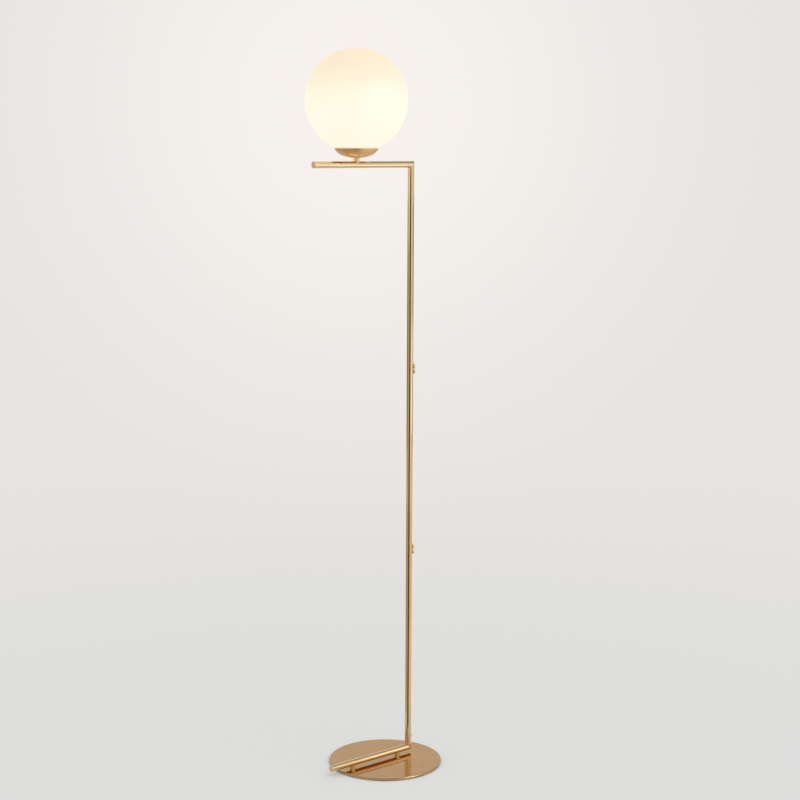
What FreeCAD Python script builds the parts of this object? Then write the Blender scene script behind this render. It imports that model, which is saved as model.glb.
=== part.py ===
"""Globe floor lamp: a slim square-cornered C of round tube on a disc base, with an opal globe.

Frame: millimetres, +Z up. The origin is the centre of the base on the floor. The pole stands
towards +X, and both arms run back over the base towards -X. The lamp is symmetrical about y = 0.
"""
import FreeCAD
import Part

import math
import os

# ---------------------------------------------------------------- driving sizes

# Base
BASE_RADIUS = 116.0
PLATE_THICKNESS = 4.2
PLATE_EDGE_ROUND = 1.6
PLATE_EDGE_CHAMFER = 0.4
PAD_THICKNESS = 0.8
PAD_INSET = 3.0
SPACER_RADIUS = 5.5
SPACER_HEIGHT = 4.8
SPACER_FROM_POLE = {"rear": 29.5, "front": 149.0}

# Tube, the same for the pole and both arms
TUBE_RADIUS = 6.5
TUBE_WALL = 1.2
POLE_FROM_CENTRE = 62.0
LOWER_ARM_REACH = 205.0
UPPER_ARM_REACH = 245.5
ARM_TO_ARM_HEIGHT = 1214.5
CAP_THICKNESS = 1.6
CAP_CHAMFER = 0.5
CAP_PLUG_LENGTH = 8.0

# Pole joints: heights of the seams above the floor
SEAM_HEIGHT = {"lower": 456.0, "upper": 831.7}
SEAM_CHAMFER = 0.3
SPIGOT_WALL = 1.75
SPIGOT_DOWN = 30.0
SPIGOT_UP = 25.0

# Thumb screws, two under each seam
SCREW_BELOW_SEAM = {"high": 9.2, "low": 19.8}
SCREW_RADIUS = 2.0
SCREW_NECK_RADIUS = 2.9
SCREW_NECK_LENGTH = 1.5
SCREW_HEAD_RADIUS = 4.75
SCREW_HEAD_LENGTH = 4.7
SCREW_HEAD_CHAMFER = 0.5
SCREW_DISH_RADIUS = 3.0
SCREW_DISH_DEPTH = 0.4
KNURL_COUNT = 24
KNURL_DEPTH = 0.3

# Base screws and the threaded blocks they pull down
BASE_SCREW_RADIUS = 2.5
BASE_SCREW_HEAD_RADIUS = 5.0
BASE_SCREW_ABOVE_AXIS = 2.5
HEX_KEY_ACROSS = 3.0
HEX_KEY_DEPTH = 1.8
BLOCK_LENGTH = 14.0

# Neck between the upper arm and the cup
GLOBE_FROM_POLE = 140.0
NECK_RADIUS = 5.9
NECK_HEIGHT = 6.25
NIPPLE_RADIUS = 4.0
NIPPLE_BORE = 2.8
NIPPLE_IN_ARM = 2.5
NUT_ACROSS = 13.0
NUT_HEIGHT = 3.0

# Cup: a shallow bottom arc that turns into a tighter shoulder arc
CUP_WALL = 1.0
CUP_BOTTOM_ARC = 80.0
CUP_SHOULDER_ARC = 28.0
CUP_TURN_RADIUS = 28.0
CUP_RIM_RADIUS = 43.2

# Globe, and the pressed gallery in the cup that holds its neck
GLOBE_RADIUS = 100.0
GLASS_WALL = 2.5
GLOBE_NECK_RADIUS = 28.3
GLOBE_NECK_WALL = 2.8
GALLERY_WALL = 1.0
GALLERY_FLAT_RADIUS = 8.0
GALLERY_DISH_RADIUS = 17.0
GALLERY_SHELF_RADIUS = 24.0
GALLERY_SHELF_HEIGHT = 8.2
COLLAR_HEIGHT = 5.0
GASKET_WIDTH = 3.1
GASKET_THICKNESS = 1.0

# Lampholder, small Edison screw
HOLDER_RADIUS = 13.5
HOLDER_WALL = 1.6
HOLDER_FOOT_RADIUS = 8.5
HOLDER_FLOOR = 5.0
HOLDER_CAP_HEIGHT = 15.0
HOLDER_BODY_HEIGHT = 30.0
HOLDER_MOUTH_RADIUS = 9.4
SKIRT_RING_COUNT = 6
SKIRT_RING_PITCH = 2.4
SKIRT_RING_DEPTH = 0.5
SKIRT_RINGS_FROM = 7.0
INSERT_THICKNESS = 5.0
INSERT_IN_BODY = 2.5
INSERT_RADIUS = 11.4
TERMINAL_FROM_AXIS = 6.0
TERMINAL_RADIUS = 1.2
TERMINAL_HEAD_RADIUS = 2.2
TERMINAL_HEAD_HEIGHT = 1.5
CONTACT_HEIGHT = 4.2
CONTACT_WIDTH = 4.0
CONTACT_THICKNESS = 0.4
CONTACT_HEEL = 1.0
CONTACT_FOOT_REACH = 1.0
CONTACT_TONGUE_REACH = 2.0

# Bulb
THREAD_RADIUS = 6.95
THREAD_DEPTH = 0.8
THREAD_PITCH = 2.82
THREAD_TURNS = 5
SHEET_METAL = 0.35
BULB_TIP_RADIUS = 4.5
BULB_TIP_HEIGHT = 2.0
BULB_INSULATOR_HEIGHT = 3.0
BULB_CAP_TOP = 1.9
BULB_NECK_RADIUS = 8.2
BULB_NECK_HEIGHT = 3.0
BULB_HOUSING_HEIGHT = 18.0
BULB_RADIUS = 22.5
BULB_SHOULDER_RADIUS = 17.0
BULB_FLARE_SAG = 1.5
BULB_WALL = 1.0
LED_BOARD_RADIUS = 13.0
LED_BOARD_THICKNESS = 1.6

# Lead and its outlet
LEAD_RADIUS = 2.2
CORE_RADIUS = 0.8
CORE_FROM_AXIS = 1.1
CORE_BEND = 1.2
LEAD_END_ABOVE_NIPPLE = 1.0
LEAD_CORNER_SHARE = 0.9  # of the widest bend that the corner of the tubes allows
OUTLET_HEIGHT = 40.0
GROMMET_WALL = 1.0
GROMMET_FLANGE = 1.0
GROMMET_THICKNESS = 0.6

# Named clearances
FIT = 0.05              # radial, for plugs and threads
SEAT_GAP = 0.3          # between curved faces that meet on different bodies
NECK_GAP = 0.3          # radial, globe neck in its collar
RIM_GAP = 1.5           # upright, between the cup's rim and the glass above it
HOLE_GAP = 0.2          # radial, screws through plain holes
THREAD_GAP = 0.15       # radial, bulb thread in its holder
CONTACT_GAP = 1.2       # centre contact to the threaded shell
LEAD_GAP = 0.2          # lead to the wall it lies against

# ---------------------------------------------------------------- places worked out

TUBE_BORE = TUBE_RADIUS - TUBE_WALL
SPIGOT_RADIUS = TUBE_BORE - FIT
SPIGOT_BORE = SPIGOT_RADIUS - SPIGOT_WALL

PLATE_BOTTOM = PAD_THICKNESS
PLATE_TOP = PLATE_BOTTOM + PLATE_THICKNESS
LOWER_AXIS = PLATE_TOP + SPACER_HEIGHT + TUBE_RADIUS
UPPER_AXIS = LOWER_AXIS + ARM_TO_ARM_HEIGHT
POLE_X = POLE_FROM_CENTRE
GLOBE_X = POLE_X - GLOBE_FROM_POLE

CUP_BOTTOM = UPPER_AXIS + TUBE_RADIUS + NECK_HEIGHT
CUP_BOTTOM_CENTRE = CUP_BOTTOM + CUP_BOTTOM_ARC
TURN_SLOPE = math.asin(CUP_TURN_RADIUS / CUP_BOTTOM_ARC)
SHOULDER_X = (CUP_BOTTOM_ARC - CUP_SHOULDER_ARC) * math.sin(TURN_SLOPE)
SHOULDER_Z = CUP_BOTTOM_CENTRE - (CUP_BOTTOM_ARC - CUP_SHOULDER_ARC) * math.cos(TURN_SLOPE)


def drop(radius, across):
    """How far a circle's lowest stretch lies below its centre, at this distance across."""
    return math.sqrt(radius ** 2 - across ** 2)


CUP_RIM = SHOULDER_Z - drop(CUP_SHOULDER_ARC, CUP_RIM_RADIUS - SHOULDER_X)
RIM_INNER_RADIUS = SHOULDER_X + drop(CUP_SHOULDER_ARC - CUP_WALL, SHOULDER_Z - CUP_RIM)

GALLERY_SPHERE = CUP_BOTTOM_ARC - CUP_WALL
GALLERY_FLAT = CUP_BOTTOM_CENTRE - drop(GALLERY_SPHERE, GALLERY_FLAT_RADIUS)
SHELF_TOP = CUP_BOTTOM + CUP_WALL + GALLERY_SHELF_HEIGHT
COLLAR_RADIUS = GLOBE_NECK_RADIUS + NECK_GAP
COLLAR_TOP = SHELF_TOP + COLLAR_HEIGHT
GLOBE_NECK_END = SHELF_TOP + GASKET_THICKNESS
GLOBE_Z = CUP_RIM + RIM_GAP + drop(GLOBE_RADIUS, RIM_INNER_RADIUS)

NUT_BOTTOM = GALLERY_FLAT + GALLERY_WALL
HOLDER_BOTTOM = NUT_BOTTOM + NUT_HEIGHT
NIPPLE_TOP = HOLDER_BOTTOM + HOLDER_FLOOR
NIPPLE_BOTTOM = UPPER_AXIS + TUBE_RADIUS - NIPPLE_IN_ARM
BODY_BOTTOM = HOLDER_BOTTOM + HOLDER_CAP_HEIGHT
BODY_TOP = BODY_BOTTOM + HOLDER_BODY_HEIGHT
INSERT_TOP = BODY_BOTTOM + INSERT_IN_BODY
INSERT_BOTTOM = INSERT_TOP - INSERT_THICKNESS

BULB_TIP = INSERT_TOP + CONTACT_HEIGHT + SEAT_GAP
INSULATOR_BOTTOM = BULB_TIP + BULB_TIP_HEIGHT
THREAD_BOTTOM = INSULATOR_BOTTOM + BULB_INSULATOR_HEIGHT
THREAD_TOP = THREAD_BOTTOM + THREAD_TURNS * THREAD_PITCH
HOUSING_BOTTOM = THREAD_TOP + BULB_CAP_TOP
HOUSING_TOP = HOUSING_BOTTOM + BULB_HOUSING_HEIGHT
BULB_CENTRE = HOUSING_TOP + drop(BULB_RADIUS, BULB_SHOULDER_RADIUS)

LEAD_LANE = TUBE_BORE - LEAD_RADIUS - LEAD_GAP
LEAD_TOP = NIPPLE_TOP + LEAD_END_ABOVE_NIPPLE
OUTLET_RADIUS = LEAD_RADIUS + GROMMET_WALL
OUTLET_FACE = POLE_X + TUBE_RADIUS + GROMMET_THICKNESS

# ---------------------------------------------------------------- shapes to build with

UP = FreeCAD.Vector(0, 0, 1)
ALONG_X = FreeCAD.Vector(1, 0, 0)


def at(x, z, y=0.0):
    """A point, written across and up, because most of the lamp lies in one plane."""
    return FreeCAD.Vector(x, y, z)


def rod(radius, start, end):
    """A solid cylinder from one point to another."""
    way = end - start
    return Part.makeCylinder(radius, way.Length, start, way)


def spun(x, start, *steps):
    """A solid of revolution about the vertical line at x, from a closed outline of (radius, z).

    A step is a corner, or a pair (point on the way, end) for an arc.
    """
    edges = []
    here = start
    for step in steps + (start,):
        if isinstance(step[0], tuple):
            via, end = step
            edges.append(Part.Arc(at(*here), at(*via), at(*end)).toShape())
        else:
            end = step
            if end != here:
                edges.append(Part.LineSegment(at(*here), at(*end)).toShape())
        here = end
    solid = Part.Face(Part.Wire(edges)).revolve(at(0, 0), UP, 360)
    solid.translate(at(x, 0))
    return solid


def on_circle(centre_x, centre_z, radius, degrees):
    """The point of a circle at an angle above the +X direction."""
    angle = math.radians(degrees)
    return (centre_x + radius * math.cos(angle), centre_z + radius * math.sin(angle))


def prism(corner_radius, corners, start, height):
    """A regular upright prism."""
    turn = 2 * math.pi / corners
    ring = [start + at(corner_radius * math.cos(i * turn), 0, corner_radius * math.sin(i * turn))
            for i in range(corners)]
    return Part.Face(Part.makePolygon(ring + [ring[0]])).extrude(UP * height)


def hexagon(across_flats, start, height):
    """An upright hexagonal prism."""
    return prism(across_flats / math.sqrt(3), 6, start, height)


def beyond(corner, outward):
    """A block larger than the lamp, filling the outward side of the plane through a corner."""
    size = 4 * (UPPER_AXIS + UPPER_ARM_REACH)
    block = Part.makeBox(size, size, size, FreeCAD.Vector(-size / 2, -size / 2, 0))
    block.transformShape(FreeCAD.Placement(corner, FreeCAD.Rotation(UP, outward)).toMatrix())
    return block


def lying(shape, start):
    """A shape built upright about the origin, laid down along +X and moved to its start."""
    shape.rotate(at(0, 0), FreeCAD.Vector(0, 1, 0), 90)
    shape.translate(start)
    return shape


def bent_rod(radius, route, bends):
    """A round rod along straight runs joined by tangent arcs, one bend radius for each corner."""
    edges = []
    here = route[0]
    for i, bend in enumerate(bends):
        corner = route[i + 1]
        back = (route[i] - corner).normalize()
        on = (route[i + 2] - corner).normalize()
        half_turn = (math.pi - back.getAngle(on)) / 2
        cut = bend * math.tan(half_turn)
        centre = corner + (back + on).normalize() * (bend / math.cos(half_turn))
        middle = centre + (corner - centre).normalize() * bend
        edges.append(Part.LineSegment(here, corner + back * cut).toShape())
        edges.append(Part.Arc(corner + back * cut, middle, corner + on * cut).toShape())
        here = corner + on * cut
    edges.append(Part.LineSegment(here, route[-1]).toShape())
    path = Part.Wire(edges)
    start_way = route[1] - route[0]
    section = Part.Wire(Part.makeCircle(radius, route[0], start_way))
    solid = path.makePipeShell([section], True, False)
    print("bent rod: volume over section times length is %.5f"
          % (solid.Volume / (math.pi * radius ** 2 * path.Length)))
    return solid


# ---------------------------------------------------------------- base


def base_plate():
    edge = PLATE_EDGE_ROUND
    foot = PLATE_EDGE_CHAMFER
    plate = spun(
        0, (0, PLATE_BOTTOM), (BASE_RADIUS - foot, PLATE_BOTTOM), (BASE_RADIUS, PLATE_BOTTOM + foot),
        (BASE_RADIUS, PLATE_TOP - edge),
        (on_circle(BASE_RADIUS - edge, PLATE_TOP - edge, edge, 45), (BASE_RADIUS - edge, PLATE_TOP)),
        (0, PLATE_TOP))
    sink = BASE_SCREW_HEAD_RADIUS + FIT
    hole = BASE_SCREW_RADIUS + FIT
    for reach in SPACER_FROM_POLE.values():
        plate = plate.cut(spun(
            POLE_X - reach, (0, PLATE_BOTTOM), (sink, PLATE_BOTTOM), (hole, PLATE_BOTTOM + sink - hole),
            (hole, PLATE_TOP), (0, PLATE_TOP)))
    return plate


def base_pad():
    return rod(BASE_RADIUS - PAD_INSET, at(0, 0), at(0, PAD_THICKNESS))


def spacer(x):
    """A short collar whose top is cut to the arm's round, so that the arm sits in it."""
    collar = rod(SPACER_RADIUS, at(x, PLATE_TOP), at(x, LOWER_AXIS))
    hole = rod(BASE_SCREW_RADIUS + HOLE_GAP, at(x, PLATE_TOP), at(x, LOWER_AXIS))
    arm = rod(TUBE_RADIUS, at(x - 2 * TUBE_RADIUS, LOWER_AXIS), at(x + 2 * TUBE_RADIUS, LOWER_AXIS))
    return collar.cut(hole).cut(arm)


def base_screw(x):
    """A countersunk screw from below, through the plate and the spacer into the arm's block."""
    head = BASE_SCREW_HEAD_RADIUS
    shank = BASE_SCREW_RADIUS
    tip = LOWER_AXIS + BASE_SCREW_ABOVE_AXIS
    screw = spun(
        x, (0, PLATE_BOTTOM), (head, PLATE_BOTTOM), (shank, PLATE_BOTTOM + head - shank),
        (shank, tip - shank / 4), (shank * 3 / 4, tip), (0, tip))
    return screw.cut(hexagon(HEX_KEY_ACROSS, at(x, PLATE_BOTTOM), HEX_KEY_DEPTH))


def arm_block(x):
    """A short round bar inside the lower arm, cross-drilled for the base screw."""
    block = rod(SPIGOT_RADIUS, at(x - BLOCK_LENGTH / 2, LOWER_AXIS), at(x + BLOCK_LENGTH / 2, LOWER_AXIS))
    hole = rod(BASE_SCREW_RADIUS + FIT, at(x, LOWER_AXIS - TUBE_RADIUS), at(x, LOWER_AXIS + TUBE_RADIUS))
    return block.cut(hole)


# ---------------------------------------------------------------- tubes


def arm_tube(axis, reach, mitre_way):
    """An arm from its end cap to the mitred corner on the pole's axis."""
    start = at(POLE_X - reach + CAP_THICKNESS, axis)
    end = at(POLE_X + 2 * TUBE_RADIUS, axis)
    tube = rod(TUBE_RADIUS, start, end).cut(rod(TUBE_BORE, start, end))
    return tube.cut(beyond(at(POLE_X, axis), mitre_way))


def pole_tube(low, high):
    """An upright length of the pole with a fine chamfer at both ends."""
    edge = SEAM_CHAMFER
    return spun(
        POLE_X, (TUBE_BORE, low), (TUBE_RADIUS - edge, low), (TUBE_RADIUS, low + edge),
        (TUBE_RADIUS, high - edge), (TUBE_RADIUS - edge, high), (TUBE_BORE, high))


def lower_arm_tube():
    tube = arm_tube(LOWER_AXIS, LOWER_ARM_REACH, at(1, 1))
    for reach in SPACER_FROM_POLE.values():
        x = POLE_X - reach
        tube = tube.cut(rod(BASE_SCREW_RADIUS + HOLE_GAP, at(x, PLATE_TOP), at(x, LOWER_AXIS)))
    return tube


def upper_arm_tube():
    tube = arm_tube(UPPER_AXIS, UPPER_ARM_REACH, at(1, -1))
    return tube.cut(rod(NIPPLE_RADIUS, at(GLOBE_X, UPPER_AXIS), at(GLOBE_X, CUP_BOTTOM)))


def screw_holes(tube, seam, radius):
    """The tube with both thumb screw holes under a seam drilled from the back."""
    for below in SCREW_BELOW_SEAM.values():
        height = seam - below
        tube = tube.cut(rod(radius, at(POLE_X, height), at(POLE_X + 2 * TUBE_RADIUS, height)))
    return tube


def lower_pole_tube():
    tube = pole_tube(LOWER_AXIS - 2 * TUBE_RADIUS, SEAM_HEIGHT["lower"])
    tube = tube.cut(beyond(at(POLE_X, LOWER_AXIS), at(-1, -1)))
    tube = tube.cut(rod(OUTLET_RADIUS, at(POLE_X, OUTLET_HEIGHT), at(OUTLET_FACE, OUTLET_HEIGHT)))
    return screw_holes(tube, SEAM_HEIGHT["lower"], SCREW_RADIUS + HOLE_GAP)


def middle_pole_tube():
    tube = pole_tube(SEAM_HEIGHT["lower"], SEAM_HEIGHT["upper"])
    return screw_holes(tube, SEAM_HEIGHT["upper"], SCREW_RADIUS + HOLE_GAP)


def upper_pole_tube():
    tube = pole_tube(SEAM_HEIGHT["upper"], UPPER_AXIS + 2 * TUBE_RADIUS)
    return tube.cut(beyond(at(POLE_X, UPPER_AXIS), at(-1, 1)))


def end_cap(axis, reach):
    """A flat cap the width of the tube, with a plug that fits its bore."""
    face = POLE_X - reach
    edge = CAP_CHAMFER
    plug = CAP_THICKNESS + CAP_PLUG_LENGTH
    cap = spun(
        0, (0, 0), (TUBE_RADIUS - edge, 0), (TUBE_RADIUS, edge), (TUBE_RADIUS, CAP_THICKNESS),
        (SPIGOT_RADIUS, CAP_THICKNESS), (SPIGOT_RADIUS, plug), (0, plug))
    return lying(cap, at(face, axis))


def spigot(seam):
    """The sleeve inside a seam: fixed in the tube above, and clamped in the one below."""
    start = at(POLE_X, seam - SPIGOT_DOWN)
    end = at(POLE_X, seam + SPIGOT_UP)
    sleeve = rod(SPIGOT_RADIUS, start, end).cut(rod(SPIGOT_BORE, start, end))
    return screw_holes(sleeve, seam, SCREW_RADIUS + FIT)


def thumb_screw(height):
    """A knurled screw through the tube's back wall into the spigot's wall."""
    tip = SPIGOT_BORE + HOLE_GAP
    neck = TUBE_RADIUS + SEAT_GAP
    head = neck + SCREW_NECK_LENGTH
    top = head + SCREW_HEAD_LENGTH
    edge = SCREW_HEAD_CHAMFER
    wide = SCREW_HEAD_RADIUS
    blank = spun(
        0, (0, tip), (SCREW_RADIUS, tip), (SCREW_RADIUS, neck), (SCREW_NECK_RADIUS, neck),
        (SCREW_NECK_RADIUS, head), (wide - edge, head), (wide, head + edge), (wide, top - edge),
        (wide - edge, top), (SCREW_DISH_RADIUS, top), (SCREW_DISH_RADIUS - edge, top - SCREW_DISH_DEPTH),
        (0, top - SCREW_DISH_DEPTH))
    return lying(blank.common(knurl(tip, top)), at(POLE_X, height))


def knurl(low, high):
    """A tall fluted bar as wide as a thumb screw's head."""
    turn = math.pi / KNURL_COUNT
    ring = []
    for i in range(2 * KNURL_COUNT):
        radius = SCREW_HEAD_RADIUS - KNURL_DEPTH * (i % 2)
        ring.append(at(radius * math.cos(i * turn), low, radius * math.sin(i * turn)))
    return Part.Face(Part.makePolygon(ring + [ring[0]])).extrude(UP * (high - low))


# ---------------------------------------------------------------- neck and cup


def neck_sleeve():
    """The short sleeve between arm and cup, cut to the round of both."""
    start = at(GLOBE_X, UPPER_AXIS)
    end = at(GLOBE_X, CUP_BOTTOM + CUP_WALL)
    sleeve = rod(NECK_RADIUS, start, end).cut(rod(NIPPLE_RADIUS, start, end))
    arm = rod(TUBE_RADIUS, start - ALONG_X * NECK_RADIUS * 2, start + ALONG_X * NECK_RADIUS * 2)
    cup = Part.makeSphere(CUP_BOTTOM_ARC, at(GLOBE_X, CUP_BOTTOM_CENTRE))
    return sleeve.cut(arm).cut(cup)


def neck_nipple():
    """The hollow threaded stud that is brazed into the arm and carries the whole head."""
    start = at(GLOBE_X, NIPPLE_BOTTOM)
    end = at(GLOBE_X, NIPPLE_TOP)
    return rod(NIPPLE_RADIUS, start, end).cut(rod(NIPPLE_BORE, start, end))


def neck_nut():
    nut = hexagon(NUT_ACROSS, at(GLOBE_X, NUT_BOTTOM), NUT_HEIGHT)
    return nut.cut(rod(NIPPLE_RADIUS + FIT, at(GLOBE_X, NUT_BOTTOM), at(GLOBE_X, HOLDER_BOTTOM)))


def cup():
    """A spun dish: bottom arc, shoulder arc and a plain cut rim."""
    hole = NIPPLE_RADIUS + FIT
    inner_bottom = CUP_BOTTOM_ARC - CUP_WALL
    inner_shoulder = CUP_SHOULDER_ARC - CUP_WALL
    turn = math.degrees(TURN_SLOPE) - 90
    hole_out = math.degrees(math.asin(hole / CUP_BOTTOM_ARC)) - 90
    hole_in = math.degrees(math.asin(hole / inner_bottom)) - 90
    rim_out = -math.degrees(math.acos((CUP_RIM_RADIUS - SHOULDER_X) / CUP_SHOULDER_ARC))
    rim_in = -math.degrees(math.acos((RIM_INNER_RADIUS - SHOULDER_X) / inner_shoulder))

    def bottom_point(arc, degrees):
        return on_circle(0, CUP_BOTTOM_CENTRE, arc, degrees)

    def shoulder_point(arc, degrees):
        return on_circle(SHOULDER_X, SHOULDER_Z, arc, degrees)

    return spun(
        GLOBE_X, (hole, CUP_BOTTOM_CENTRE - drop(CUP_BOTTOM_ARC, hole)),
        (bottom_point(CUP_BOTTOM_ARC, (turn + hole_out) / 2), bottom_point(CUP_BOTTOM_ARC, turn)),
        (shoulder_point(CUP_SHOULDER_ARC, (turn + rim_out) / 2), (CUP_RIM_RADIUS, CUP_RIM)),
        (RIM_INNER_RADIUS, CUP_RIM),
        (shoulder_point(inner_shoulder, (turn + rim_in) / 2), bottom_point(inner_bottom, turn)),
        (bottom_point(inner_bottom, (turn + hole_in) / 2),
         (hole, CUP_BOTTOM_CENTRE - drop(inner_bottom, hole))))


def globe_gallery():
    """A pressed ring: flat for the nut, dished like the cup, then a shelf and an upright collar."""
    hole = NIPPLE_RADIUS + FIT
    wall = GALLERY_WALL
    flat = GALLERY_FLAT_RADIUS
    dish = GALLERY_DISH_RADIUS
    shelf = GALLERY_SHELF_RADIUS
    middle = (flat + dish) / 2
    dish_bottom = CUP_BOTTOM_CENTRE - drop(GALLERY_SPHERE, dish)
    return spun(
        GLOBE_X, (hole, GALLERY_FLAT), (flat, GALLERY_FLAT),
        ((middle, CUP_BOTTOM_CENTRE - drop(GALLERY_SPHERE, middle)), (dish, dish_bottom)),
        (shelf, SHELF_TOP - wall), (COLLAR_RADIUS + wall, SHELF_TOP - wall),
        (COLLAR_RADIUS + wall, COLLAR_TOP), (COLLAR_RADIUS, COLLAR_TOP), (COLLAR_RADIUS, SHELF_TOP),
        (shelf - wall / 2, SHELF_TOP), (dish - wall / 2, dish_bottom + wall), (flat, NUT_BOTTOM),
        (hole, NUT_BOTTOM))


def globe_gasket():
    outer = GLOBE_NECK_RADIUS
    return spun(
        GLOBE_X, (outer - GASKET_WIDTH, SHELF_TOP), (outer, SHELF_TOP), (outer, GLOBE_NECK_END),
        (outer - GASKET_WIDTH, GLOBE_NECK_END))


def glass_globe():
    """The opal globe, one wall all round, with a short straight neck under it."""
    outer = GLOBE_RADIUS
    inner = GLOBE_RADIUS - GLASS_WALL
    neck = GLOBE_NECK_RADIUS
    mouth = GLOBE_NECK_RADIUS - GLOBE_NECK_WALL
    return spun(
        GLOBE_X, (mouth, GLOBE_NECK_END), (neck, GLOBE_NECK_END), (neck, GLOBE_Z - drop(outer, neck)),
        ((outer, GLOBE_Z), (0, GLOBE_Z + outer)), (0, GLOBE_Z + inner),
        ((inner, GLOBE_Z), (mouth, GLOBE_Z - drop(inner, mouth))))


# ---------------------------------------------------------------- lampholder


def holder_cap():
    """The lower half, screwed on the nipple."""
    hole = NIPPLE_RADIUS
    wide = HOLDER_RADIUS
    inside = HOLDER_RADIUS - HOLDER_WALL
    slope = wide - HOLDER_FOOT_RADIUS
    return spun(
        GLOBE_X, (hole, HOLDER_BOTTOM), (HOLDER_FOOT_RADIUS, HOLDER_BOTTOM),
        (wide, HOLDER_BOTTOM + slope), (wide, BODY_BOTTOM), (inside, BODY_BOTTOM),
        (inside, NIPPLE_TOP + slope / 2), (inside - slope / 2, NIPPLE_TOP), (hole, NIPPLE_TOP))


def holder_body():
    """The upper half, with the ringed skirt outside and a ledge over the insert inside."""
    wide = HOLDER_RADIUS
    seat = INSERT_RADIUS + FIT
    mouth = HOLDER_MOUTH_RADIUS
    rings = []
    for i in range(SKIRT_RING_COUNT):
        low = BODY_BOTTOM + SKIRT_RINGS_FROM + i * SKIRT_RING_PITCH
        rings.append((wide, low))
        rings.append((wide + SKIRT_RING_DEPTH, low + SKIRT_RING_PITCH / 2))
    rings.append((wide, BODY_BOTTOM + SKIRT_RINGS_FROM + SKIRT_RING_COUNT * SKIRT_RING_PITCH))
    edge = HOLDER_WALL / 2
    return spun(
        GLOBE_X, (seat, BODY_BOTTOM), (wide, BODY_BOTTOM), *rings, (wide, BODY_TOP - edge),
        (wide - edge, BODY_TOP), (mouth + edge, BODY_TOP), (mouth, BODY_TOP - edge),
        (mouth, INSERT_TOP), (seat, INSERT_TOP))


def terminal_places():
    return [GLOBE_X - TERMINAL_FROM_AXIS, GLOBE_X + TERMINAL_FROM_AXIS]


def holder_insert():
    """The ceramic disc that keeps the contacts apart."""
    disc = rod(INSERT_RADIUS, at(GLOBE_X, INSERT_BOTTOM), at(GLOBE_X, INSERT_TOP))
    for x in terminal_places():
        disc = disc.cut(rod(TERMINAL_RADIUS + FIT, at(x, INSERT_BOTTOM), at(x, INSERT_TOP)))
    return disc


def terminal_screws():
    """Both terminal screws, heads down."""
    screws = []
    for x in terminal_places():
        head_bottom = INSERT_BOTTOM - TERMINAL_HEAD_HEIGHT
        screws.append(spun(
            x, (0, head_bottom), (TERMINAL_HEAD_RADIUS, head_bottom),
            (TERMINAL_HEAD_RADIUS, INSERT_BOTTOM), (TERMINAL_RADIUS, INSERT_BOTTOM),
            (TERMINAL_RADIUS, INSERT_TOP), (0, INSERT_TOP)))
    return Part.makeCompound(screws)


def thread_rings(crest, inward):
    """The Edison thread as rings, from the bottom up: arcs that bulge to the crest radius."""
    root = crest - THREAD_DEPTH
    steps = []
    for i in range(THREAD_TURNS):
        low = THREAD_BOTTOM + i * THREAD_PITCH
        steps.append(((crest, low + THREAD_PITCH / 2), (root, low + THREAD_PITCH)))
    if not inward:
        return steps
    backward = []
    for i in reversed(range(THREAD_TURNS)):
        low = THREAD_BOTTOM + i * THREAD_PITCH
        backward.append(((crest, low + THREAD_PITCH / 2), (root, low)))
    return backward


def holder_shell():
    """The threaded brass sleeve round the bulb's cap, with a foot ring on the insert."""
    inside = THREAD_RADIUS + THREAD_GAP
    outside = inside + SHEET_METAL
    foot = HOLDER_MOUTH_RADIUS - HOLE_GAP
    root_in = inside - THREAD_DEPTH
    root_out = outside - THREAD_DEPTH
    top = HOUSING_BOTTOM - SEAT_GAP
    return spun(
        GLOBE_X, (inside, INSERT_TOP), (foot, INSERT_TOP), (foot, INSERT_TOP + SHEET_METAL),
        (outside, INSERT_TOP + SHEET_METAL), (outside, THREAD_BOTTOM - THREAD_PITCH / 2),
        (root_out, THREAD_BOTTOM), *thread_rings(outside, False), (outside, top), (inside, top),
        (root_in, THREAD_TOP), *thread_rings(inside, True), (inside, THREAD_BOTTOM - THREAD_PITCH / 2))


def centre_contact():
    """A bent brass tongue on the insert, just under the bulb's tip."""
    back = CONTACT_GAP - THREAD_RADIUS
    foot = CONTACT_FOOT_REACH
    tongue = CONTACT_TONGUE_REACH
    thick = CONTACT_THICKNESS
    top = INSERT_TOP + CONTACT_HEIGHT
    side = [(back, INSERT_TOP), (foot, INSERT_TOP), (foot, INSERT_TOP + thick),
            (back + CONTACT_HEEL, INSERT_TOP + thick), (-tongue, top - thick), (tongue, top - thick),
            (tongue, top), (-tongue, top), (back, INSERT_TOP + 2 * thick)]
    ring = [at(GLOBE_X + x, z, -CONTACT_WIDTH / 2) for x, z in side]
    return Part.Face(Part.makePolygon(ring + [ring[0]])).extrude(FreeCAD.Vector(0, CONTACT_WIDTH, 0))


# ---------------------------------------------------------------- bulb


def bulb_tip():
    dome = (BULB_TIP_RADIUS ** 2 + BULB_TIP_HEIGHT ** 2) / (2 * BULB_TIP_HEIGHT)
    middle = BULB_TIP_RADIUS / 2
    return spun(
        GLOBE_X, (0, BULB_TIP),
        ((middle, BULB_TIP + dome - drop(dome, middle)), (BULB_TIP_RADIUS, INSULATOR_BOTTOM)),
        (0, INSULATOR_BOTTOM))


def bulb_insulator():
    root = THREAD_RADIUS - THREAD_DEPTH
    return spun(
        GLOBE_X, (0, INSULATOR_BOTTOM), (BULB_TIP_RADIUS, INSULATOR_BOTTOM), (root, THREAD_BOTTOM),
        (0, THREAD_BOTTOM))


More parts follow.
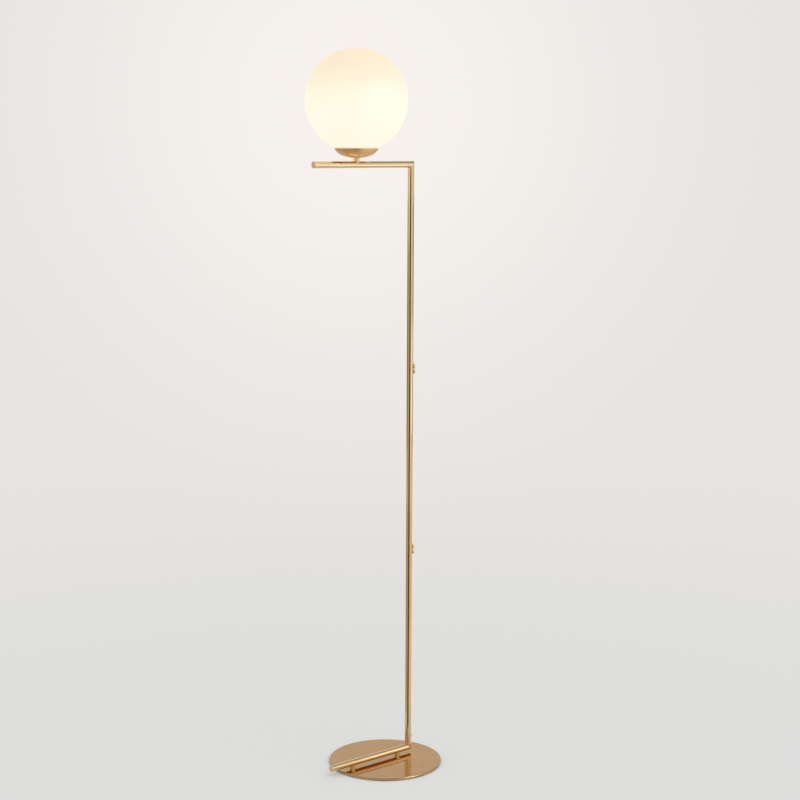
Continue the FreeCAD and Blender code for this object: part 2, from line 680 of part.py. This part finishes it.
def bulb_cap():
    """The thin threaded metal shell."""
    root = THREAD_RADIUS - THREAD_DEPTH
    return spun(
        GLOBE_X, (root - SHEET_METAL, THREAD_BOTTOM), (root, THREAD_BOTTOM),
        *thread_rings(THREAD_RADIUS, False), (root, HOUSING_BOTTOM), (root - SHEET_METAL, HOUSING_BOTTOM),
        (root - SHEET_METAL, THREAD_TOP), *thread_rings(THREAD_RADIUS - SHEET_METAL, True))


def bulb_housing():
    """The plastic body that flares from the cap to the envelope."""
    flare_from = HOUSING_BOTTOM + BULB_NECK_HEIGHT
    out = BULB_SHOULDER_RADIUS - BULB_NECK_RADIUS
    rise = HOUSING_TOP - flare_from
    sag = BULB_FLARE_SAG / math.hypot(out, rise)
    via = (BULB_NECK_RADIUS + out / 2 - sag * rise, flare_from + rise / 2 + sag * out)
    return spun(
        GLOBE_X, (0, HOUSING_BOTTOM), (BULB_NECK_RADIUS, HOUSING_BOTTOM), (BULB_NECK_RADIUS, flare_from),
        (via, (BULB_SHOULDER_RADIUS, HOUSING_TOP)), (0, HOUSING_TOP))


def bulb_led_board():
    return rod(LED_BOARD_RADIUS, at(GLOBE_X, HOUSING_TOP), at(GLOBE_X, HOUSING_TOP + LED_BOARD_THICKNESS))


def bulb_envelope():
    """The opal dome, hollow and open where it stands on the housing."""
    outer = BULB_RADIUS
    inner = BULB_RADIUS - BULB_WALL
    foot = math.sqrt(inner ** 2 - (BULB_CENTRE - HOUSING_TOP) ** 2)
    return spun(
        GLOBE_X, (foot, HOUSING_TOP), (BULB_SHOULDER_RADIUS, HOUSING_TOP),
        ((outer, BULB_CENTRE), (0, BULB_CENTRE + outer)), (0, BULB_CENTRE + inner),
        ((inner, BULB_CENTRE), (foot, HOUSING_TOP)))


# ---------------------------------------------------------------- lead


def lamp_lead():
    """The lead inside the lamp: down the nipple, along the arm, round the corner and down the pole."""
    under_neck = UPPER_AXIS - LEAD_LANE
    neck_bend = NIPPLE_BOTTOM - under_neck - LEAD_GAP
    corner_room = math.sqrt(2) * (LEAD_LANE + TUBE_BORE) - LEAD_RADIUS - LEAD_GAP
    corner_bend = LEAD_CORNER_SHARE * corner_room / (math.sqrt(2) - 1)
    outlet_bend = LEAD_LANE + TUBE_BORE - GROMMET_THICKNESS - LEAD_GAP
    route = [at(GLOBE_X, LEAD_TOP), at(GLOBE_X, under_neck), at(POLE_X + LEAD_LANE, UPPER_AXIS + LEAD_LANE),
             at(POLE_X - LEAD_LANE, OUTLET_HEIGHT), at(OUTLET_FACE, OUTLET_HEIGHT)]
    bends = [neck_bend, corner_bend, outlet_bend]
    print("lead bend radii: " + ", ".join("%.1f" % bend for bend in bends))
    return bent_rod(LEAD_RADIUS, route, bends)


def lead_cores():
    """The two cores from the end of the lead's sheath to the terminals."""
    end = INSERT_BOTTOM - TERMINAL_HEAD_HEIGHT
    rise = (end - LEAD_TOP) / 4
    cores = []
    for side in (-1, 1):
        near = GLOBE_X + side * CORE_FROM_AXIS
        far = GLOBE_X + side * TERMINAL_FROM_AXIS
        route = [at(near, LEAD_TOP), at(near, LEAD_TOP + rise), at(far, end - rise), at(far, end)]
        cores.append(bent_rod(CORE_RADIUS, route, [CORE_BEND, CORE_BEND]))
    return Part.makeCompound(cores)


def cable_grommet():
    """A rubber bush in the outlet hole, with a thin flange each side of the tube wall."""
    inner_face = POLE_X + TUBE_BORE - GROMMET_THICKNESS
    flange = OUTLET_RADIUS + GROMMET_FLANGE
    low = at(POLE_X, OUTLET_HEIGHT - 2 * flange)
    high = at(POLE_X, OUTLET_HEIGHT + 2 * flange)
    disc = rod(flange, at(POLE_X, OUTLET_HEIGHT), at(POLE_X + 2 * TUBE_RADIUS, OUTLET_HEIGHT))

    def skin(outer, inner):
        return disc.common(rod(outer, low, high).cut(rod(inner, low, high)))

    bush = rod(OUTLET_RADIUS, at(inner_face, OUTLET_HEIGHT), at(OUTLET_FACE, OUTLET_HEIGHT))
    bush = bush.fuse(skin(TUBE_RADIUS + GROMMET_THICKNESS, TUBE_RADIUS))
    bush = bush.fuse(skin(TUBE_BORE, TUBE_BORE - GROMMET_THICKNESS))
    hole = rod(LEAD_RADIUS, at(POLE_X, OUTLET_HEIGHT), at(POLE_X + 2 * TUBE_RADIUS, OUTLET_HEIGHT))
    return bush.cut(hole).removeSplitter()


# ---------------------------------------------------------------- the whole lamp


def build():
    nodes = {
        "base_plate": base_plate(),
        "base_pad": base_pad(),
        "lower_arm_tube": lower_arm_tube(),
        "lower_arm_cap": end_cap(LOWER_AXIS, LOWER_ARM_REACH),
        "lower_pole_tube": lower_pole_tube(),
        "middle_pole_tube": middle_pole_tube(),
        "upper_pole_tube": upper_pole_tube(),
        "upper_arm_tube": upper_arm_tube(),
        "upper_arm_cap": end_cap(UPPER_AXIS, UPPER_ARM_REACH),
        "neck_sleeve": neck_sleeve(),
        "neck_nipple": neck_nipple(),
        "neck_nut": neck_nut(),
        "cup": cup(),
        "globe_gallery": globe_gallery(),
        "globe_gasket": globe_gasket(),
        "glass_globe": glass_globe(),
        "holder_cap": holder_cap(),
        "holder_body": holder_body(),
        "holder_insert": holder_insert(),
        "holder_shell": holder_shell(),
        "terminal_screws": terminal_screws(),
        "centre_contact": centre_contact(),
        "bulb_tip": bulb_tip(),
        "bulb_insulator": bulb_insulator(),
        "bulb_cap": bulb_cap(),
        "bulb_housing": bulb_housing(),
        "bulb_led_board": bulb_led_board(),
        "bulb_envelope": bulb_envelope(),
        "lamp_lead": lamp_lead(),
        "lead_cores": lead_cores(),
        "cable_grommet": cable_grommet(),
    }
    for place, reach in SPACER_FROM_POLE.items():
        x = POLE_X - reach
        nodes["spacer_" + place] = spacer(x)
        nodes["base_screw_" + place] = base_screw(x)
        nodes["arm_block_" + place] = arm_block(x)
    for joint, seam in SEAM_HEIGHT.items():
        nodes[joint + "_spigot"] = spigot(seam)
        for place, below in SCREW_BELOW_SEAM.items():
            nodes["thumb_screw_%s_%s" % (joint, place)] = thumb_screw(seam - below)
    return nodes


os.makedirs("parts", exist_ok=True)
for name, shape in build().items():
    shape.exportStep("parts/%s.step" % name)
    print("%-24s solids %d  valid %s  volume %.1f" % (name, len(shape.Solids), shape.isValid(), shape.Volume))
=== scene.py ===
"""Globe floor lamp: finishes, studio and camera. Metres, +Z up, the part's own frame."""
import math

import bmesh
import bpy
from mathutils import Matrix, Vector


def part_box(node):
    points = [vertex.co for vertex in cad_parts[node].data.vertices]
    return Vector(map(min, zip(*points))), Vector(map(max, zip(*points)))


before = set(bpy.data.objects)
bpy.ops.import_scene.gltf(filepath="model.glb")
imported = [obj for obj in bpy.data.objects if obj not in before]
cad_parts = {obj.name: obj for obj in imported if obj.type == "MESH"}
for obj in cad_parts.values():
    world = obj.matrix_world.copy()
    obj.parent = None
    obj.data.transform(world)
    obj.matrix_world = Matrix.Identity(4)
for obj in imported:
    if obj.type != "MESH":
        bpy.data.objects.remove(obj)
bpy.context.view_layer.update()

# ---------------------------------------------------------------- places read from the frame


def middle(node):
    """The centre of a node's box."""
    low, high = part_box(node)
    return (low + high) / 2


POLE = middle("middle_pole_tube")
GLOBE = middle("glass_globe")
GLOBE_RADIUS = (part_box("glass_globe")[1].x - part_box("glass_globe")[0].x) / 2
DISC_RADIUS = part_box("base_plate")[1].x

# ---------------------------------------------------------------- camera

CAMERA_AZIMUTH = -40.51       # degrees round the pole, 0 looks along +Y
CAMERA_FROM_POLE = 3.455
CAMERA_HEIGHT = 1.2753
CAMERA_TILT = 8.58            # degrees down
CAMERA_PAN = 0.33             # degrees to the left of the pole
CAMERA_ROLL = 0.27
FIELD_WIDTH = 0.4674          # width of the picture at one metre
SENSOR_WIDTH = 36.0           # millimetres, as Blender takes it


def place_camera():
    """Puts the photo's camera in the scene and gives the spot where it stands."""
    around = math.radians(CAMERA_AZIMUTH)
    data = bpy.data.cameras.new("photo_camera")
    data.sensor_width = SENSOR_WIDTH
    data.lens = SENSOR_WIDTH / FIELD_WIDTH
    camera = bpy.data.objects.new("photo_camera", data)
    bpy.context.scene.collection.objects.link(camera)
    spot = Vector((POLE.x + CAMERA_FROM_POLE * math.sin(around),
                   POLE.y - CAMERA_FROM_POLE * math.cos(around), CAMERA_HEIGHT))
    camera.matrix_world = (
        Matrix.Translation(spot)
        @ Matrix.Rotation(around + math.radians(CAMERA_PAN), 4, "Z")
        @ Matrix.Rotation(math.radians(90 - CAMERA_TILT), 4, "X")
        @ Matrix.Rotation(math.radians(CAMERA_ROLL), 4, "Z"))
    bpy.context.scene.camera = camera
    return spot


# ---------------------------------------------------------------- node helpers


def srgb(red, green, blue):
    """A colour as a screen shows it, 0 to 255, in the linear values that nodes take."""
    def linear(value):
        value /= 255
        return value / 12.92 if value <= 0.04045 else ((value + 0.055) / 1.055) ** 2.4
    return (linear(red), linear(green), linear(blue), 1.0)


def darkened(colour, share):
    return tuple(part * share for part in colour[:3]) + (1.0,)


class Graph:
    """A node tree that is written as calls: each call makes one node and gives its output."""

    def __init__(self, tree):
        self.tree = tree
        tree.nodes.clear()

    def set_input(self, socket, value):
        """Links an output to a socket, or sets a plain value on it."""
        if isinstance(value, bpy.types.NodeSocket):
            self.tree.links.new(value, socket)
        else:
            socket.default_value = value

    def node(self, kind, inputs=None, out=0, **settings):
        made = self.tree.nodes.new("ShaderNode" + kind)
        for name, value in settings.items():
            setattr(made, name, value)
        for key, value in (inputs or {}).items():
            self.set_input(made.inputs[key], value)
        return made.outputs[out]

    def math(self, operation, first, second=0.0):
        return self.node("Math", {0: first, 1: second}, operation=operation)

    def share(self, part, first, second):
        """A part of the first value and the rest of the second."""
        return self.math("ADD", self.math("MULTIPLY", first, part),
                         self.math("MULTIPLY", second, 1 - part))

    def length(self, first, second):
        """How far a point is from an axis, from its two parts across it."""
        squares = self.math("ADD", self.math("MULTIPLY", first, first),
                            self.math("MULTIPLY", second, second))
        return self.math("SQRT", squares)

    def place(self):
        return self.node("TexCoord", out="Object")

    def parts(self, vector):
        split = self.tree.nodes.new("ShaderNodeSeparateXYZ")
        self.tree.links.new(vector, split.inputs[0])
        return split.outputs[0], split.outputs[1], split.outputs[2]

    def noise(self, vector, scale, detail=2.0, roughness=0.5):
        return self.node("TexNoise", {"Vector": vector, "Scale": scale, "Detail": detail,
                                      "Roughness": roughness}, out="Fac")

    def ramp(self, value, low, high, to_low=0.0, to_high=1.0, smooth=False):
        kind = "SMOOTHSTEP" if smooth else "LINEAR"
        return self.node("MapRange", {"Value": value, "From Min": low, "From Max": high,
                                      "To Min": to_low, "To Max": to_high},
                         interpolation_type=kind)

    def blend(self, share, first, second):
        """The second colour over the first, by share."""
        made = self.tree.nodes.new("ShaderNodeMix")
        made.data_type = "RGBA"
        for socket, value in zip((made.inputs[0], made.inputs[6], made.inputs[7]),
                                 (share, first, second)):
            self.set_input(socket, value)
        return made.outputs[2]

    def bump(self, height, strength, distance):
        return self.node("Bump", {"Height": height, "Strength": strength, "Distance": distance})

    def light_path(self):
        return self.tree.nodes.new("ShaderNodeLightPath").outputs

    def finish(self, shader, kind="OutputMaterial"):
        end = self.tree.nodes.new("ShaderNode" + kind)
        self.tree.links.new(shader, end.inputs["Surface"])


def material(name):
    made = bpy.data.materials.new(name)
    made.use_nodes = True
    return made, Graph(made.node_tree)


# ---------------------------------------------------------------- metal

# The darkest and the palest tint of each finish
GOLD = ((0.66, 0.47, 0.228, 1.0), (0.78, 0.582, 0.31, 1.0))        # tubes
BRONZE = ((0.485, 0.275, 0.105, 1.0), (0.58, 0.345, 0.14, 1.0))    # disc: a shade deeper
PALE = ((0.76, 0.63, 0.44, 1.0), (0.86, 0.74, 0.54, 1.0))          # thumb screws
COPPER = ((0.74, 0.45, 0.21, 1.0), (0.86, 0.55, 0.28, 1.0))        # cup

# Roughness on and off the brush marks
POLISHED = (0.07, 0.13)       # tubes
TURNED = (0.08, 0.14)         # disc
HANDLED = (0.28, 0.36)        # thumb screws
SATIN = (0.32, 0.4)           # end caps
SPUN = (0.42, 0.5)            # cup

LACQUER = 0.4                 # share of clear coat over the polished brass
LACQUER_ROUGHNESS = 0.06

GRAIN_STRETCH = 60.0          # a brush mark is this many times longer than wide
GRAIN_DRIFT = 0.5             # how fast turned marks change round the piece
FINE_MARKS = 60.0             # scales of the noise
FINE_DETAIL = 3.0
FINE_ROUGHNESS = 0.65
COARSE_MARKS = 9.0
CLOUDS = 22.0
CLOUD_DETAIL = 3.0
FINE_SHARE = 0.8              # fine marks against coarse ones
MARK_SHARE = 0.6              # marks against clouds, in the tint
TINT_SPAN = (0.35, 0.65)      # noise values between which the tint runs
ROUGH_SPAN = (0.3, 0.7)       # the same for the roughness
MARK_STRENGTH = 0.09
MARK_DEPTH = 0.00002

EDGE_RADIUS = 0.0006          # how far a rubbed edge reaches
EDGE_SAMPLES = 4
EDGE_TURN = (0.995, 0.93)     # cosine of the bevel's turn, on the open face and on the edge
EDGE_TINT = (0.84, 0.66, 0.38, 1.0)
EDGE_TINT_SHARE = 0.5
EDGE_SHINE = 0.7              # roughness of the edge against the face

RIM_WIDTH = 0.0016            # rounded edge of the disc
RIM_SOFTNESS = 0.0004
RIM_DULL = 0.05               # added to the roughness there
# painted highlight and shade: a less orange tint on the disc's rounded edge, set so its highlight renders
# paler and its front dark
RIM_PAINTED_TINT = (0.48, 0.34, 0.19, 1.0)


def grain_along(graph, axis):
    """Coordinates whose first part runs along the piece: the tubes are brushed round."""
    x, y, z = graph.parts(graph.place())
    along, other = (z, x) if axis == "Z" else (x, z)
    stretched = graph.math("MULTIPLY", along, GRAIN_STRETCH)
    return graph.node("CombineXYZ", {0: stretched, 1: y, 2: other})


def grain_turned(graph, centre_x):
    """Coordinates whose first part is the radius, for a piece that was turned on a lathe."""
    x, y, z = graph.parts(graph.place())
    off = graph.math("SUBTRACT", x, centre_x)
    stretched = graph.math("MULTIPLY", graph.length(off, y), GRAIN_STRETCH)
    return graph.node("CombineXYZ", {0: stretched, 1: graph.math("MULTIPLY", off, GRAIN_DRIFT), 2: z})


def rubbed_edge(graph):
    """1 along an edge that hands and cloths rub pale, 0 on the open face."""
    soft = graph.node("Bevel", {"Radius": EDGE_RADIUS}, samples=EDGE_SAMPLES)
    true = graph.node("NewGeometry", out="Normal")
    turned = graph.node("VectorMath", {0: soft, 1: true}, out="Value", operation="DOT_PRODUCT")
    return graph.ramp(turned, *EDGE_TURN)


def rim_dull_and_painted_tint(graph, tint, rough):
    """Makes the disc's rounded edge rougher and gives it a painted tint, less orange than the brass, that
    stands in for its pale highlight and its shaded front.
    """
    x, y, z = graph.parts(graph.place())
    start = DISC_RADIUS - RIM_WIDTH
    outside = graph.ramp(graph.length(x, y), start - RIM_SOFTNESS, start + RIM_SOFTNESS)
    rough = graph.math("ADD", rough, graph.math("MULTIPLY", outside, RIM_DULL))
    return graph.blend(outside, tint, RIM_PAINTED_TINT), rough


def brushed_brass(name, tints, grain, roughness, lacquer=0.0, rim=False):
    """Brass with brush marks that follow the grain; rim is for the disc only."""
    made, graph = material(name)
    lines = grain(graph)
    fine = graph.noise(lines, FINE_MARKS, detail=FINE_DETAIL, roughness=FINE_ROUGHNESS)
    coarse = graph.noise(lines, COARSE_MARKS)
    cloud = graph.noise(graph.place(), CLOUDS, detail=CLOUD_DETAIL)
    marks = graph.share(FINE_SHARE, fine, coarse)
    tone = graph.share(MARK_SHARE, marks, cloud)
    tint = graph.blend(graph.ramp(tone, *TINT_SPAN), *tints)
    rough = graph.ramp(marks, *ROUGH_SPAN, *roughness)
    # painted highlight and shade on the disc's rounded edge
    if rim:
        tint, rough = rim_dull_and_painted_tint(graph, tint, rough)
    edge = rubbed_edge(graph)
    shader = graph.node("BsdfPrincipled", {
        "Base Color": graph.blend(graph.math("MULTIPLY", edge, EDGE_TINT_SHARE), tint, EDGE_TINT),
        "Metallic": 1.0,
        "Roughness": graph.math("MULTIPLY", rough, graph.ramp(edge, 0.0, 1.0, 1.0, EDGE_SHINE)),
        "Normal": graph.bump(fine, MARK_STRENGTH, MARK_DEPTH),
        "Coat Weight": lacquer,
        "Coat Roughness": LACQUER_ROUGHNESS,
    })
    graph.finish(shader)
    return made


# ---------------------------------------------------------------- glass

# painted glow and shading of the globe: cream low down, peach towards the top
GLOW_LOW = (0.71, 0.665, 0.505, 1.0)
GLOW_HIGH = (0.60, 0.465, 0.26, 1.0)
GLOW_SPAN = (-0.35, 0.95)     # heights between which it runs, in radii above the centre
OPAL = ((0.36, 0.355, 0.345, 1.0), (0.40, 0.395, 0.385, 1.0))
OPAL_ROUGHNESS = (0.52, 0.6)
OPAL_SPECULAR = 0.25
OPAL_CLOUDS = 30.0
ETCHED_GRAIN = 900.0
ETCHED_STRENGTH = 0.1
ETCHED_DEPTH = 0.00002


def opal_glass():
    """Etched opal glass with a painted glow: its emission stands in for the bulb's light through the
    glass, with painted shading from cream below to peach towards the top.
    """
    made, graph = material("opal_glass")
    x, y, z = graph.parts(graph.place())
    height = graph.math("DIVIDE", graph.math("SUBTRACT", z, GLOBE.z), GLOBE_RADIUS)
    rise = graph.ramp(height, *GLOW_SPAN, smooth=True)
    cloud = graph.noise(graph.place(), OPAL_CLOUDS)
    etched = graph.noise(graph.place(), ETCHED_GRAIN)
    shader = graph.node("BsdfPrincipled", {
        "Base Color": graph.blend(cloud, *OPAL),
        "Roughness": graph.ramp(cloud, *ROUGH_SPAN, *OPAL_ROUGHNESS),
        "Specular IOR Level": OPAL_SPECULAR,
        "Emission Color": graph.blend(rise, GLOW_LOW, GLOW_HIGH),
        "Emission Strength": 1.0,
        "Normal": graph.bump(etched, ETCHED_STRENGTH, ETCHED_DEPTH),
    })
    graph.finish(shader)
    return made


# ---------------------------------------------------------------- hidden pieces

PLASTIC_CLOUDS = 120.0
PLASTIC_DARK = 0.9            # darkest tint against the palest
PLASTIC_ROUGH_RANGE = 0.06    # each way
PLASTIC_GRAIN = 1500.0
PLASTIC_STRENGTH = 0.15
PLASTIC_DEPTH = 0.00005

CAST_GRAIN = 300.0
CAST_DETAIL = 4.0
CAST_DARK = 0.85
CAST_SMOOTHER = 0.05
CAST_ROUGHER = 0.08
CAST_STRENGTH = 0.15
CAST_DEPTH = 0.00003

PLAIN_METALS = (
    # name, colour on a screen, roughness, nodes
    ("zinc_steel", (190, 192, 196), 0.35, (
        "arm_block_front", "arm_block_rear", "base_screw_front", "base_screw_rear", "lower_spigot",
        "upper_spigot", "neck_nipple", "neck_nut", "globe_gallery", "terminal_screws")),
    ("contact_brass", (214, 180, 110), 0.25, ("holder_shell", "centre_contact")),
    ("nickel_plate", (205, 200, 190), 0.2, ("bulb_cap", "bulb_tip")),
    ("board_aluminium", (225, 226, 228), 0.4, ("bulb_led_board",)),
)
PLASTICS = (
    # name, colour on a screen, roughness, glow, nodes
    ("opal_plastic", (250, 244, 228), 0.4, 1.2, ("bulb_envelope",)),
    ("white_plastic", (228, 226, 220), 0.35, 0.0, ("holder_cap", "holder_body", "bulb_housing")),
    ("white_ceramic", (238, 236, 230), 0.2, 0.0, ("holder_insert",)),
    ("black_plastic", (32, 32, 34), 0.3, 0.0, ("bulb_insulator",)),
    ("black_rubber", (30, 30, 31), 0.6, 0.0, ("lamp_lead", "cable_grommet")),
    ("core_plastic", (150, 90, 60), 0.4, 0.0, ("lead_cores",)),
    ("clear_silicone", (222, 224, 222), 0.3, 0.0, ("globe_gasket",)),
    ("foam_pad", (44, 44, 46), 0.9, 0.0, ("base_pad",)),
)


def plastic(name, colour, rough, glow):
    made, graph = material(name)
    cloud = graph.noise(graph.place(), PLASTIC_CLOUDS, detail=CLOUD_DETAIL)
    grain = graph.noise(graph.place(), PLASTIC_GRAIN)
    tint = graph.blend(cloud, darkened(colour, PLASTIC_DARK), colour)
    shader = graph.node("BsdfPrincipled", {
        "Base Color": tint,
        "Roughness": graph.ramp(cloud, *ROUGH_SPAN, rough - PLASTIC_ROUGH_RANGE,
                                rough + PLASTIC_ROUGH_RANGE),
        "Emission Color": tint,
        "Emission Strength": glow,
        "Normal": graph.bump(grain, PLASTIC_STRENGTH, PLASTIC_DEPTH),
    })
    graph.finish(shader)
    return made


def plain_metal(name, colour, rough):
    made, graph = material(name)
    cloud = graph.noise(graph.place(), CAST_GRAIN, detail=CAST_DETAIL)
    shader = graph.node("BsdfPrincipled", {
        "Base Color": graph.blend(cloud, darkened(colour, CAST_DARK), colour),
        "Metallic": 1.0,
        "Roughness": graph.ramp(cloud, *ROUGH_SPAN, rough - CAST_SMOOTHER, rough + CAST_ROUGHER),
        "Normal": graph.bump(cloud, CAST_STRENGTH, CAST_DEPTH),
    })
    graph.finish(shader)
    return made


# ---------------------------------------------------------------- which piece wears what


def upright(graph):
    return grain_along(graph, "Z")


def level(graph):
    return grain_along(graph, "X")


def round_base(graph):
    return grain_turned(graph, 0.0)


def round_globe(graph):
    return grain_turned(graph, GLOBE.x)


def dress(made, nodes):
    for name in nodes:
        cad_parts[name].material_slots[0].material = made


def dress_nodes():
    dress(brushed_brass("brass_upright", GOLD, upright, POLISHED, LACQUER), (
        "lower_pole_tube", "middle_pole_tube", "upper_pole_tube", "neck_sleeve",
        "spacer_front", "spacer_rear"))
    dress(brushed_brass("brass_level", GOLD, level, POLISHED, LACQUER), (
        "lower_arm_tube", "upper_arm_tube"))
    dress(brushed_brass("brass_cap", GOLD, upright, SATIN), ("lower_arm_cap", "upper_arm_cap"))
    dress(brushed_brass("brass_knob", PALE, level, HANDLED, LACQUER), [
        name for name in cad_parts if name.startswith("thumb_screw")])
    dress(brushed_brass("brass_disc", BRONZE, round_base, TURNED, rim=True), ("base_plate",))
    dress(brushed_brass("brass_cup", COPPER, round_globe, SPUN), ("cup",))
    dress(opal_glass(), ("glass_globe",))
    for name, colour, rough, nodes in PLAIN_METALS:
        dress(plain_metal(name, srgb(*colour), rough), nodes)
    for name, colour, rough, glow, nodes in PLASTICS:
        dress(plastic(name, srgb(*colour), rough, glow), nodes)


# ---------------------------------------------------------------- backdrop, floor and sun

BACKDROP_LOW = srgb(223, 223, 222)
BACKDROP_HIGH = srgb(231, 228, 226)
# painted light: the backdrop is brighter round the globe, a painted pool of the lamp's light
BACKDROP_GLOW = srgb(247, 242, 237)
BACKDROP_RISE = (-0.34, -0.16)         # between them, as the height of a unit view ray
GLOW_REACH = 15                        # degrees round the globe
FILL = 0.885                           # even light on everything that isn't metal or glass

FLOOR_RADIUS = 20.0
FLOOR_SIDES = 128
FLOOR_DROP = 0.0002                    # keeps it clear of the pad
FLOOR_FADE = (0.3, 2.3)                # where it turns into the backdrop

KEY_AZIMUTH = 60                       # degrees to the camera's right
KEY_ELEVATION = 50
KEY_STRENGTH = 0.45
KEY_SPREAD = 60


def build_world(eye):
    """A pale room: what the eye, metal and glass see of it, and an even light for the rest."""
    world = bpy.data.worlds.new("studio")
    bpy.context.scene.world = world
    world.use_nodes = True
    graph = Graph(world.node_tree)
    way = graph.node("TexCoord", out="Generated")
    rise = graph.ramp(graph.parts(way)[2], *BACKDROP_RISE, smooth=True)
    wall = graph.blend(rise, BACKDROP_LOW, BACKDROP_HIGH)
    towards = (GLOBE - eye).normalized()
    near = graph.node("VectorMath", {0: way, 1: towards}, out="Value", operation="DOT_PRODUCT")
    # painted pool of light on the backdrop round the globe
    glow = graph.ramp(graph.math("ARCCOSINE", near), math.radians(GLOW_REACH), 0.0, smooth=True)
    path = graph.light_path()
    shown = graph.math("MAXIMUM", path["Is Camera Ray"],
                       graph.math("MAXIMUM", path["Is Glossy Ray"], path["Is Transmission Ray"]))
    fill = graph.node("Background", {"Color": (1, 1, 1, 1), "Strength": FILL})
    seen = graph.blend(glow, wall, BACKDROP_GLOW)
    backdrop = graph.node("Background", {"Color": seen, "Strength": 1.0})
    graph.finish(graph.node("MixShader", {0: shown, 1: fill, 2: backdrop}), "OutputWorld")


def build_floor():
    """A pale sheet that keeps the lamp's shadow and fades into the backdrop."""
    mesh = bpy.data.meshes.new("floor")
    bm = bmesh.new()
    bmesh.ops.create_circle(bm, cap_ends=True, segments=FLOOR_SIDES, radius=FLOOR_RADIUS)
    bm.to_mesh(mesh)
    bm.free()
    floor = bpy.data.objects.new("floor", mesh)
    bpy.context.scene.collection.objects.link(floor)
    floor.location.z = -FLOOR_DROP
    made, graph = material("floor_paper")
    x, y, z = graph.parts(graph.place())
    fade = graph.ramp(graph.length(x, y), *FLOOR_FADE, smooth=True)
    hidden = graph.math("MULTIPLY", fade, graph.light_path()["Is Camera Ray"])
    paper = graph.node("BsdfDiffuse", {"Color": BACKDROP_LOW})
    clear = graph.node("BsdfTransparent")
    graph.finish(graph.node("MixShader", {0: hidden, 1: paper, 2: clear}))
    mesh.materials.append(made)


def build_sun():
    """A wide, soft sun for the shadow; the screens below are painted reflections in the metal."""
    data = bpy.data.lights.new("key", "SUN")
    data.energy = KEY_STRENGTH
    data.angle = math.radians(KEY_SPREAD)
    sun = bpy.data.objects.new("key", data)
    bpy.context.scene.collection.objects.link(sun)
    sun.rotation_euler = (math.radians(90 - KEY_ELEVATION), 0,
                          math.radians(CAMERA_AZIMUTH + KEY_AZIMUTH))
    sun.visible_glossy = False


# ---------------------------------------------------------------- what the metal mirrors

# Azimuths go round the pole from the camera's side, and more is to its right.
WHITE = (1.0, 1.0, 1.0)
COOL = (0.93, 1.0, 1.13)               # daylight through the window
WARM = (1.0, 0.93, 0.74)               # light off the floor
BROWN = (1.0, 0.6, 0.2)                # the unlit half of the room
# painted reflections: screens that light nothing and cast no shadow, seen only in metal and glass; the
# dark brown ones paint the shade of the unlit room
SCREENS = (
    # name, azimuth, distance, width, low, high, light, tint
    ("softbox_right", 75, 3.0, 3.0, 1.3, 2.7, 1.22, COOL),
    ("softbox_edge", 58, 2.9, 1.3, 1.5, 2.7, 15.0, WHITE),
    ("strip_low", 82, 2.0, 0.55, 0.35, 0.7, 2.7, WHITE),
    ("strip_front", 33, 2.4, 0.5, 0.0, 2.2, 1.5, WHITE),
    ("wall_right", 66, 3.1, 3.2, 0.0, 1.35, 0.85, WHITE),
    ("wall_left_high", -66, 2.7, 2.8, 0.9, 2.6, 1.0, WHITE),
    ("wall_left_low", -66, 2.7, 2.8, 0.0, 0.9, 0.54, WARM),
    ("unlit_room", -3, 6.0, 5.6, 0.0, 1.15, 0.08, BROWN),
    ("edge_left", -118, 3.5, 3.2, 0.0, 1.05, 0.17, WARM),
    ("edge_right", 121, 3.5, 3.0, 0.0, 1.05, 0.22, WHITE),
)
# painted reflections of the floor, seen only in metal and glass; unlit_floor paints the shade on the
# floor in front
FLOOR_CARDS = (
    # name, azimuth, from, to, half width per metre, light, tint
    ("unlit_floor", -3, 0.17, 6.0, 0.46, 0.09, BROWN),
    ("floor_left", -78, 0.26, 2.4, 1.0, 0.5, WARM),
    ("floor_right", 75, 0.26, 2.6, 1.1, 0.85, WARM),
)
FLOOR_CARD_HEIGHT = 0.001
# painted reflection of a dim ceiling, seen only in metal and glass
CEILING_HALF_WIDTH = 3.0
CEILING_HEIGHT = 2.72
CEILING_LIGHT = 0.5


def build_card(name, azimuth, corners, light, tint):
    """A screen that only metal and glass see, a painted reflection: bright for a softbox, dark for the
    unlit room.
    """
    mesh = bpy.data.meshes.new(name)
    turn = (Matrix.Translation((POLE.x, POLE.y, 0))
            @ Matrix.Rotation(math.radians(CAMERA_AZIMUTH + azimuth), 4, "Z"))
    mesh.from_pydata([turn @ Vector(corner) for corner in corners], [], [(0, 1, 2, 3)])
    card = bpy.data.objects.new(name, mesh)
    bpy.context.scene.collection.objects.link(card)
    made, graph = material(name)
    graph.finish(graph.node("Emission", {"Color": (*tint, 1.0), "Strength": light}))
    mesh.materials.append(made)
    card.visible_camera = False
    card.visible_diffuse = False
    card.visible_shadow = False


def build_cards():
    for name, azimuth, away, width, low, high, light, tint in SCREENS:
        half = width / 2
        build_card(name, azimuth, (
            (-half, -away, low), (half, -away, low), (half, -away, high), (-half, -away, high)),
            light, tint)
    half, up = CEILING_HALF_WIDTH, CEILING_HEIGHT
    build_card("ceiling", 0, ((-half, -half, up), (half, -half, up), (half, half, up), (-half, half, up)),
               CEILING_LIGHT, WHITE)
    for name, azimuth, near, far, spread, light, tint in FLOOR_CARDS:
        build_card(name, azimuth, [(side * away, -away, FLOOR_CARD_HEIGHT) for side, away in (
            (-spread, near), (spread, near), (spread, far), (-spread, far))], light, tint)


# ---------------------------------------------------------------- run

bpy.context.scene.view_settings.view_transform = "Standard"
dress_nodes()
build_world(place_camera())
build_floor()
build_sun()
build_cards()
